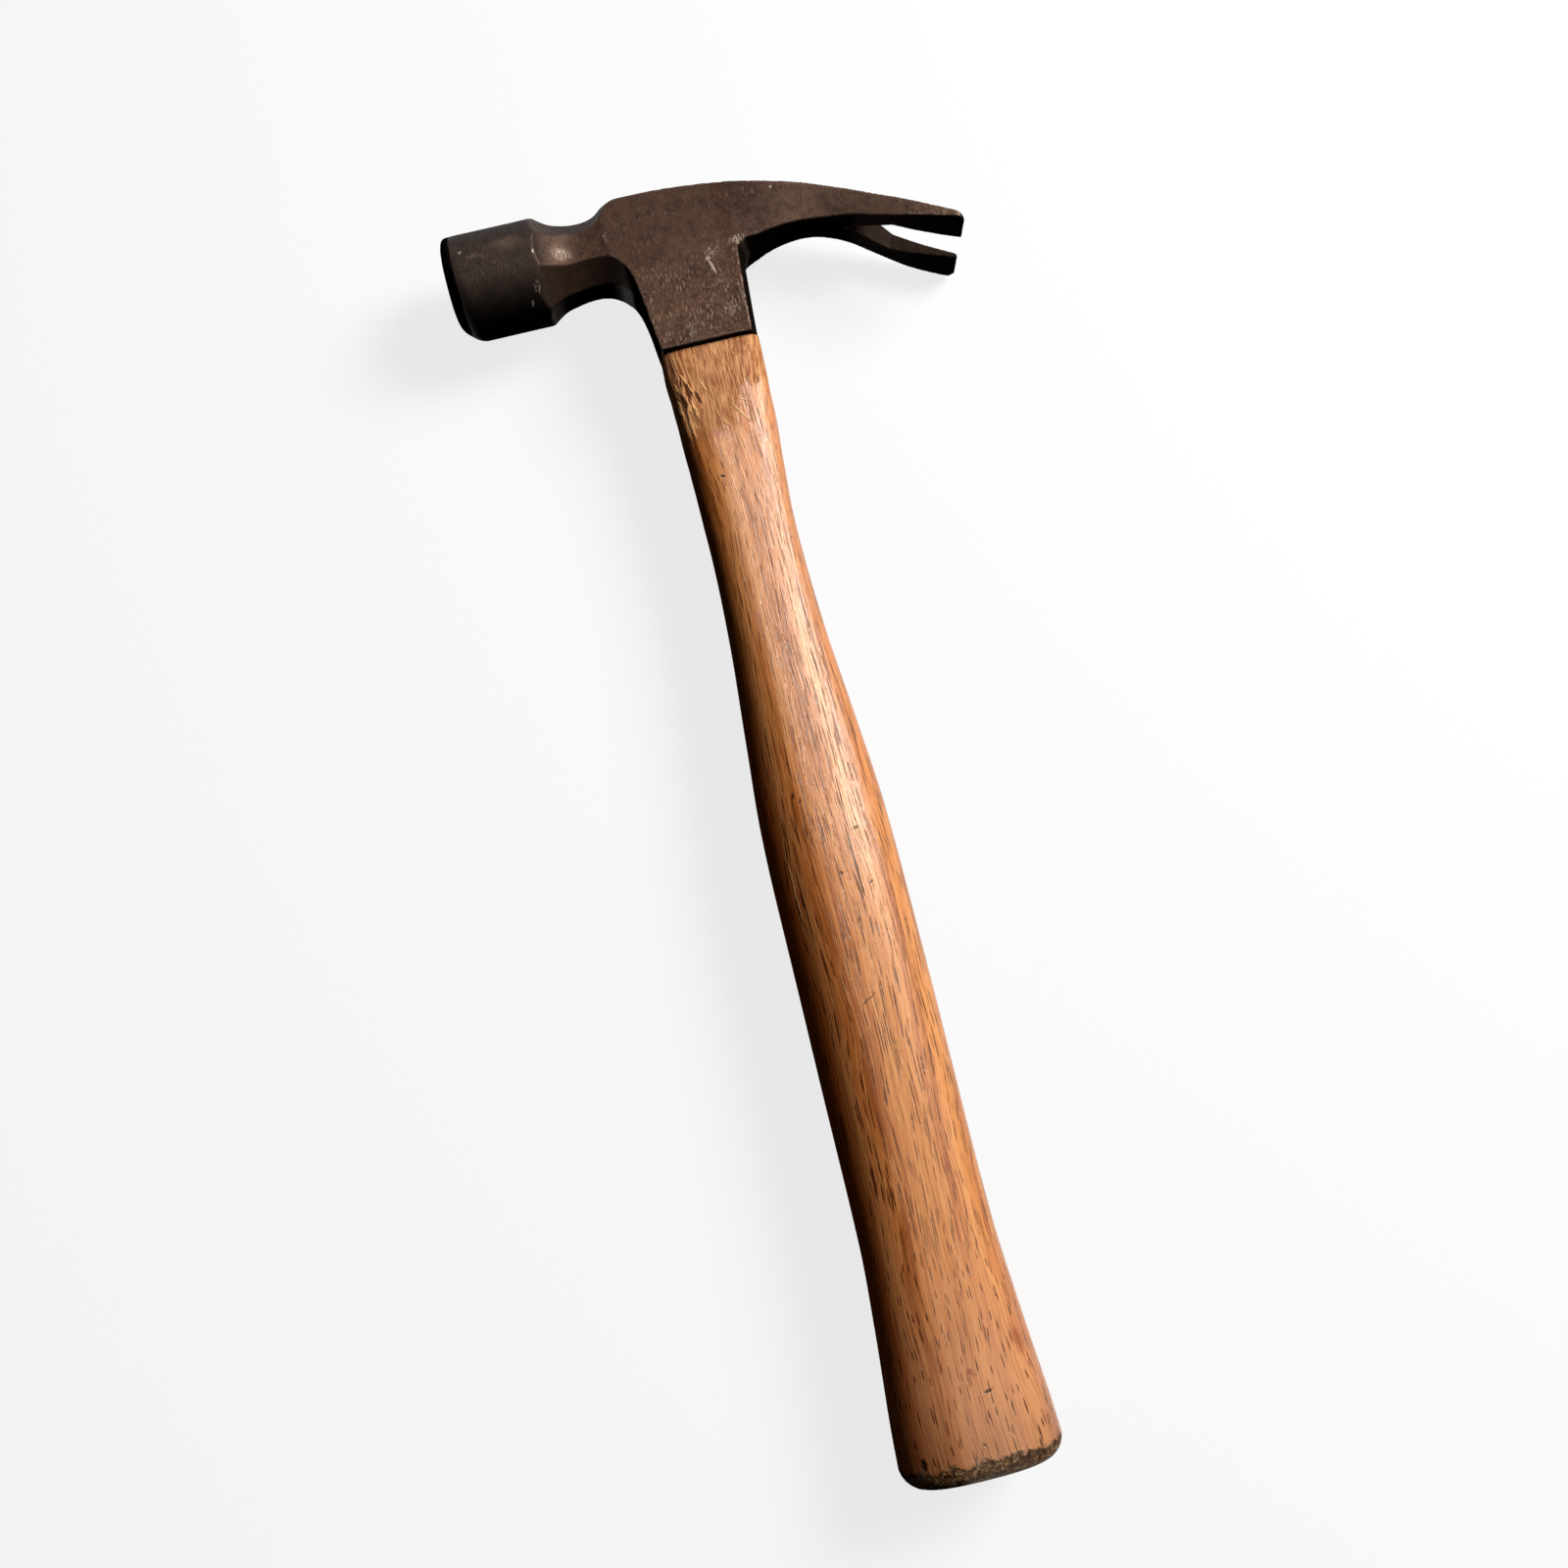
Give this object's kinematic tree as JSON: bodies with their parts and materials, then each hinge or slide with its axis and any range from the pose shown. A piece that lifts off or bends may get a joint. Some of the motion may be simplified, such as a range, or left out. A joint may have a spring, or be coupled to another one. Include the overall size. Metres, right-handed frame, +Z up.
{
  "type": "straight_claw_hammer",
  "caption": "Straight claw hammer: dark forged head with round poll, octagonal neck, flat cheeks and split claws, wedged on a worn hickory handle",
  "frame": {"origin": "On the surface the hammer lies on, under the middle of its bounding box.", "axes": "X from the striking face to the claws, Y from the butt to the top of the head, Z up, square to the cheeks."},
  "size_m": [0.1396, 0.347, 0.036],
  "materials": {
    "forged_steel": "dark oxidised forging, scuffed and worn bright along its edges",
    "hickory": "satin, worn, with open dark pores along the grain",
    "wedge_wood": "sawn end grain, darkened by oil",
    "wedge_steel": "dull, hammered flush"
  },
  "bodies": {
    "root": {"head": "forged_steel", "handle": "hickory", "wooden_wedge": "wedge_wood", "steel_wedge_front": "wedge_steel", "steel_wedge_rear": "wedge_steel"}
  },
  "joints": []
}
